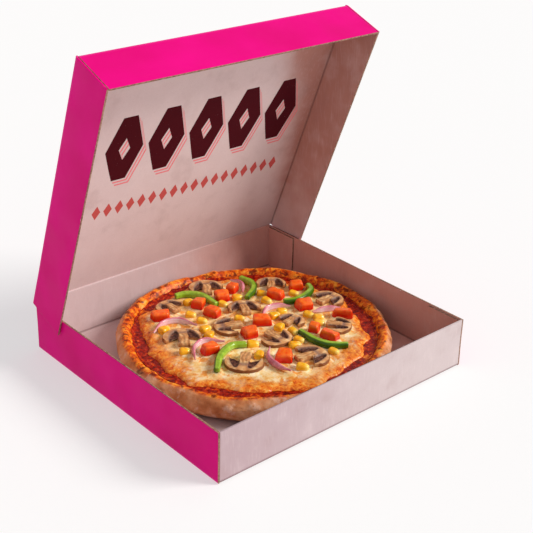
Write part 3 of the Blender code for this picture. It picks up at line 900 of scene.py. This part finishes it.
def twoTone(name, mask, first, second, looks, bump=None):
    # a topping's two pairs of colours, mixed by a number that its mesh carries; a pair comes with the
    # size and the detail of its patches, and looks are finish's roughness, specular, coat and flesh
    material, tree = newMaterial(name)
    colour = blend(field(tree, mask), mottle(tree, *first), mottle(tree, *second))
    return finish(material, colour, *looks, bumps=[(grain(tree, *bump), 0.2, 0.3)] if bump else ())


def makeKernels():
    # each kernel is a rounded box: rings along its length whose radius is a superellipse, narrower
    # at the tip end, with a shallow dent in its crown; all of them are one mesh, deep yellow and
    # paler at the tip
    material = twoTone("sweetcorn", "tip", (5, 2, (244, 160, 8), (255, 200, 40)),
                       (5, 2, (252, 222, 116), (252, 222, 116)),
                       (0.22, 0.3, (0.3, 0.12), (0.15, (0.003, 0.002, 0.0008))))
    solids, tips = [], []
    draw = np.random.default_rng(12)
    phi = np.linspace(-math.pi / 2 + 0.12, math.pi / 2 - 0.12, kernel["along"])[:, None]
    across, up = boxyCircle(kernel["around"], 0.8)
    a, b, c = kernel["half"]
    for right, away, angle in kernelPlaces:
        size = draw.uniform(0.92, 1.08)
        long = squared(np.sin(phi), 0.75)
        wide = np.cos(phi) ** 0.55 * (1 - 0.22 * long)
        x, y, z = a * long + 0 * across, b * wide * across, c * wide * up
        z = z - 0.7 * np.exp(-(((x + 1.2) / 1.6) ** 2) - (y / 1.4) ** 2) * (z > 0)
        body = np.stack([x, y, z], -1) * size
        body = body + 0.12 * noise(body, 3, int(right + 200), 2)[..., None]
        solids.append(layDown(body, right, away, angle, pizza["cheeseTop"] + c - kernel["sink"] + 0.2))
        tips.append(np.append(step(x, 1.5, 4.5).ravel(), [0, 1]))
    points, quads, triangles = joinRings(solids)
    fields = {"tip": np.concatenate(tips)}
    piece = putMesh("sweetcorn", points, quads, triangles, [material], "box", fields)


makeKernels()


def makePeppers():
    # chunks cut by hand: superellipsoids, boxy with rounded edges, smaller and leaning at the top;
    # red skin round them, and orange flesh on top, whose brightness is partly a painted highlight
    material = twoTone("redPepper", "up", (6, 2, (196, 10, 2), (230, 36, 6)),
                       (4, 3, (248, 74, 8), (255, 128, 40)),
                       (0.2, 0.3, (0.3, 0.1), (0.12, (0.003, 0.001, 0.0005))), (1.5, 3))
    phi = np.linspace(-math.pi / 2 + 0.02, math.pi / 2 - 0.02, pepper["along"])[:, None]
    square = pepper["square"]
    across, up = boxyCircle(pepper["around"], square)
    for number, (right, away, angle, length, width) in enumerate(pepperPlaces, 1):
        spread = np.cos(phi) ** square
        x, y = length / 2 * spread * across, width / 2 * spread * up
        rise = (squared(np.sin(phi), square) + 1) / 2 + 0 * across
        lean = 0.9 * math.sin(number * 2.4)
        skew = 0.22 * math.sin(number * 4.1), 0.2 * math.sin(number * 5.3 + 1)
        x, y = x * (0.96 + skew[0] * y / width), y * (0.96 + skew[1] * x / length)
        x, y = x * (1 - 0.16 * rise) + lean * rise, y * (1 - 0.18 * rise) - 0.6 * lean * rise
        slant = 1.2 * math.sin(number * 1.7) * x / length + 1.4 * math.cos(number * 2.9) * y / width
        body = np.stack([x, y, (pepper["height"] - 0.4 + slant) * rise], -1)
        body = body + noise(body, 6, 100 + number, 3)[..., None] * np.array([0.7, 0.7, 0.45])
        body[..., 2] = np.maximum(body[..., 2], 0.0)
        rings = layDown(body, right, away, angle, pizza["toppingBase"])
        # up: the orange top, flesh and partly painted highlight; the deeper red sides partly painted shade
        ringPiece(f"pepperChunk_{number:02d}", rings, material, f"red_pepper_{number:02d}",
                  {"up": step(rise, 0.50, 0.90)})


makePeppers()


def sweep(points, size, halfWidth, halfHeight, taper, power):
    # a superellipse section carried along a smooth path, shrunk towards the ends by taper; gives the
    # rings, and each point's place across the strip, -1 to 1 and positive on the bend's outer side,
    # and up it
    path = smoothPath(points, size["along"])
    tangent = np.gradient(path, axis=0)
    tangent /= np.linalg.norm(tangent, axis=1)[:, None]
    bend = np.cross(path[-1] - path[0], path[len(path) // 2] - path[0])
    outward = np.stack([-tangent[:, 1], tangent[:, 0]], 1) * np.sign(bend)
    across, up = boxyCircle(size["around"], power)
    share = taper[:, None]
    flat = path[:, None] + (across * halfWidth * share)[..., None] * outward[:, None]
    rings = np.concatenate([flat, (halfHeight * (1 + up * share))[..., None]], -1)
    return rings, across, up


def placeStrip(name, rings, number, grainSize, seed, material, replaced, fields):
    # roughens a strip a little, keeps its foot off the cheese's solid and lays it down
    rings = rings + noise(rings, grainSize, seed + number, 2)[..., None] * 0.25
    rings[..., 2] = np.maximum(rings[..., 2], 0)
    rings = layDown(rings, 0, 0, 0, pizza["toppingBase"])
    ringPiece(f"{name}_{number}", rings, material, f"{replaced}_{number}", fields)


def makeStrips():
    # pepper strips: a round section, a little flat on top, blunt at the ends; dark skin, paler flesh
    # inside the bend and on top, where the paler colour is partly a painted highlight
    material = twoTone("greenPepper", "flesh", (8, 3, (48, 88, 2), (72, 116, 6)),
                       (5, 3, (122, 164, 20), (168, 202, 62)), (0.2, 0.3, (0.35, 0.1)), (2.5, 2))
    share = np.linspace(0, 1, strip["along"])
    taper = 0.84 + 0.16 * step(np.minimum(share, 1 - share), 0, 0.3)
    taper[[0, -1]] *= 0.86
    for number, points in enumerate(stripPaths, 1):
        rings, across, up = sweep(points, strip, strip["radius"], strip["radius"], taper, 0.8)
        rings[..., 2] -= 0.35 * np.exp(-((across / 0.3) ** 2)) * (up > 0.5)
        # flesh: paler inside the bend, and on top partly as painted highlight
        placeStrip("greenStrip", rings, number, 9, 140, material, "green_pepper",
                   {"flesh": step(0.55 * up - across, -0.3, 0.3)})


makeStrips()


def makeOnions():
    # onion slivers: bands on edge that thin towards a crest and the two ends; the side inside the
    # bend is hollowed, pale, and has fine mauve lines along the layers
    material = twoTone("onion", "pale", (5, 3, (204, 94, 116), (232, 156, 168)),
                       (6, 3, (228, 196, 202), (244, 226, 228)),
                       (0.25, 0.5, (0.3, 0.1), (0.1, (0.003, 0.002, 0.002))))
    share = np.linspace(0, 1, onion["along"])
    taper = 0.30 + 0.70 * step(np.minimum(share, 1 - share), 0, 0.34)
    for number, points in enumerate(onionPaths, 1):
        rings, across, up = sweep(points, onion, onion["radius"], onion["height"] / 2, taper, 0.85)
        inner = step(-across, 0.0, 0.6)
        outward = rings - rings.mean(axis=1, keepdims=True)
        outward[..., 2] = 0
        thin = 0.32 * inner * np.exp(-(((up - 0.1) / 0.6) ** 2)) + 0.30 * step(up, 0.0, 1.0)
        rings = rings - outward * thin[..., None]
        stripes = 0.75 + 0.25 * np.sin(up * 11 + number)
        pale = inner * step(-up, -0.85, -0.6) * stripes * (0.8 + 0.2 * np.sin(share * 9 + number))[:, None]
        placeStrip("onionSliver", rings, number, 8, 150, material, "onion", {"pale": pale})


makeOnions()


def mushroomMaterial():
    # tan flesh, greyer towards the gills, a thin brown skin, dark brown gills and a fibrous stem
    material, tree = newMaterial("mushroom")
    fine = grain(tree, 1.8, 5, 0.65)
    colour = shades(grain(tree, 6, 5), (0.3, (186, 122, 68)), (0.5, (216, 158, 102)),
                    (0.7, (244, 208, 150)))
    colour = blend(calc("MULTIPLY", field(tree, "halo"), 0.8), colour, (128, 98, 90))
    colour = blend(calc("MULTIPLY", field(tree, "stem"), 0.55), colour, (150, 100, 58))
    colour = blend(field(tree, "skin"), colour, (138, 82, 42))
    dark = shades(fine, (0.3, (36, 14, 14)), (0.48, (72, 38, 32)), (0.66, (140, 92, 68)))
    colour = blend(field(tree, "gill"), colour, dark)
    return finish(material, colour, 0.45, 0.25, (0.06, 0.2), bumps=[(fine, 0.3, 0.4)])


def sliceOutline(width, count):
    # half of the slice from the stem's end to the top of the cap, then its mirror, made smooth
    half, dome = width / 2, width * mushroom["dome"]
    stem, length = width * 0.115, width * mushroom["stem"]
    outline = [(0, -length * 1.02), (stem * 0.7, -length), (stem * 1.25, -length * 0.93),
               (stem * 1.05, -length * 0.45), (stem * 1.2, -dome * 0.12), (half * 0.60, -dome * 0.30),
               (half * 0.80, -dome * 0.43)]
    for turn in np.radians(np.linspace(-27, 90, 9)):
        outline.append((half * math.cos(turn), dome * math.sin(turn)))
    right = smoothPath(outline, count // 2 + 1)
    return np.vstack([right, right[-2:0:-1] * np.array([-1, 1])])


def makeMushrooms():
    # a slice: its outline shrunk in steps towards a point in the cap, on two levels with a rounded
    # edge between them. The gills are a sunk crescent on each side of the stem, thickest near it:
    # the band between the cap's underside and an arc above it. The stem stands proud and has grooves.
    material = mushroomMaterial()
    edge = np.linspace(0, math.pi, 13)
    inward = 1 - np.linspace(0.03, 1, (mushroom["across"] - 13) // 2) ** 0.9
    draw = np.random.default_rng(31)
    for number, (right, away, angle, width) in enumerate(mushroomPlaces, 1):
        outline = sliceOutline(width, mushroom["around"])
        heart = np.array([0, width * 0.10])
        ray = outline - heart
        shrink = np.concatenate([inward[::-1][1:], 1 - 0.035 * (1 - np.sin(edge)), inward[:-1]])
        count = len(inward) - 1
        level = np.concatenate([np.zeros(count), (1 - np.cos(edge)) / 2, np.ones(count)])
        flat = heart + shrink[:, None, None] * ray[None]
        half, dome = width / 2, width * mushroom["dome"]
        lean, fullness = draw.uniform(-0.03, 0.03) * width, draw.uniform(0.85, 1.2)
        x, y = flat[..., 0], flat[..., 1]
        rough = noise(np.stack([x, y, x * 0 + number * 9.0], -1), 4.0, 160 + number, 3)
        capRadius = np.hypot(x / half, y / dome)
        stemHalf = width * (0.105 + 0.03 * step(-y, -dome * 0.2, dome * 0.4))
        beside = np.abs(x - lean) - stemHalf
        inStem = step(-beside, -0.6, 0.5) * step(-y, -dome * 0.34, -dome * 0.1)
        along = np.clip(beside / (half * 0.80 - stemHalf), 0, 1)
        underside = -dome * (0.10 + 0.36 * along**1.3)
        swell = 0.32 * (1 - along) + 0.60 * np.sin(math.pi * along**0.7) ** 0.8 + 0.04
        arc = underside + dome * fullness * swell
        gill = step(arc + 0.6 * rough - y, 0.0, 1.1) * step(y - underside, -1.2, 0.4)
        gill = gill * step(beside, -0.3, 0.8) * step(-along, -0.97, -0.86)
        halo = step(arc + 0.18 * width - y, 0.0, 0.17 * width) * step(-capRadius, -0.98, -0.7)
        halo = halo * (1 - inStem)
        groove = np.sin(x / width * 60 + rough * 3 + 1.5 * np.sin(y / 3)) * inStem
        top = (level > 0.5)[:, None]
        lift = mushroom["thick"] * level[:, None] + 0 * x
        relief = 0.3 * rough - mushroom["gillDepth"] * gill
        relief = relief + mushroom["grooves"] * groove + mushroom["stemRise"] * inStem
        lift = lift + np.where(top, relief, 0)
        lift = lift - 0.8 * top * step(capRadius, 0.72, 1.02) * step(y, -dome * 0.3, dome * 0.3)
        rings = layDown(np.stack([x, y, lift], -1), right, away, angle, pizza["toppingBase"])
        skin = step(capRadius + 0.04 * rough, 0.94, 0.985) * step(y, -dome * 0.5, -dome * 0.2)
        skin = np.maximum(skin, 0.55 * (1 - top) * (level[:, None] > 0.05))
        fields = {"skin": skin, "gill": gill * top, "halo": halo * top,
                  "stem": inStem * (0.45 + 0.55 * groove)}
        ringPiece(f"mushroomSlice_{number:02d}", rings, material, f"mushroom_{number:02d}", fields)


makeMushrooms()
print("toppings laid")

# Floor, light and camera

studio = {
    "floor": 0.5, "floorGlow": 0.48,  # how much light the floor sends back, and gives of itself
    "floorHalf": 60.0, "floorDrop": 0.0002,  # in metres
    "world": (250, 250, 252), "worldStrength": 0.46,
    "keyFrom": (0.62, -0.55, 0.56), "keyStrength": 3.14, "keyWidth": 24.0,
    "keyColour": (255, 250, 246),
}
view = {
    "azimuth": -41.475, "elevation": 26.2, "distance": 1.128, "roll": 1.43, "lens": 75.7,
    "target": (0.0972, 0.0866, 0.028),
}


def makeStage():
    half = studio["floorHalf"]
    mesh = bpy.data.meshes.new("floor")
    mesh.from_pydata([(-half, -half, 0), (half, -half, 0), (half, half, 0), (-half, half, 0)], [],
                     [(0, 1, 2, 3)])
    floor = addObject("floor", mesh)
    material, tree = newMaterial("floorPaint")
    values = {"Base Color": (*[studio["floor"]] * 3, 1), "Roughness": 0.9, "Specular IOR Level": 0.0,
              "Emission Color": (1, 1, 1, 1), "Emission Strength": studio["floorGlow"]}
    for key, value in values.items():
        tree.nodes["Principled BSDF"].inputs[key].default_value = value
    mesh.materials.append(material)
    floor.location.z = -studio["floorDrop"]
    world = bpy.data.worlds.new("studio")
    world.use_nodes = True
    back = world.node_tree.nodes["Background"]
    back.inputs[0].default_value = srgb(*studio["world"])
    back.inputs[1].default_value = studio["worldStrength"]
    bpy.context.scene.world = world
    light = bpy.data.lights.new("key", "SUN")
    light.energy = studio["keyStrength"]
    light.angle = math.radians(studio["keyWidth"])
    light.color = srgb(*studio["keyColour"])[:3]
    lamp = addObject("key", light)
    lamp.rotation_euler = Vector(studio["keyFrom"]).to_track_quat("Z", "Y").to_euler()


def makeCamera():
    # stands at an azimuth and an elevation from its target, rolled a little
    az, el = math.radians(view["azimuth"]), math.radians(view["elevation"])
    back = Vector((math.sin(az) * math.cos(el), -math.cos(az) * math.cos(el), math.sin(el)))
    right = Vector((0, 0, 1)).cross(back).normalized()
    up = back.cross(right)
    turn = math.radians(view["roll"])
    rolledRight = right * math.cos(turn) + up * math.sin(turn)
    rolledUp = up * math.cos(turn) - right * math.sin(turn)
    data = bpy.data.cameras.new("camera")
    data.sensor_width = 36
    data.lens = view["lens"]
    camera = addObject("camera", data)
    matrix = Matrix((rolledRight, rolledUp, back)).transposed().to_4x4()
    matrix.translation = Vector(view["target"]) + back * view["distance"]
    camera.matrix_world = matrix
    bpy.context.scene.camera = camera


makeStage()
makeCamera()
bpy.context.scene.view_settings.view_transform = "Standard"
print("stage set")
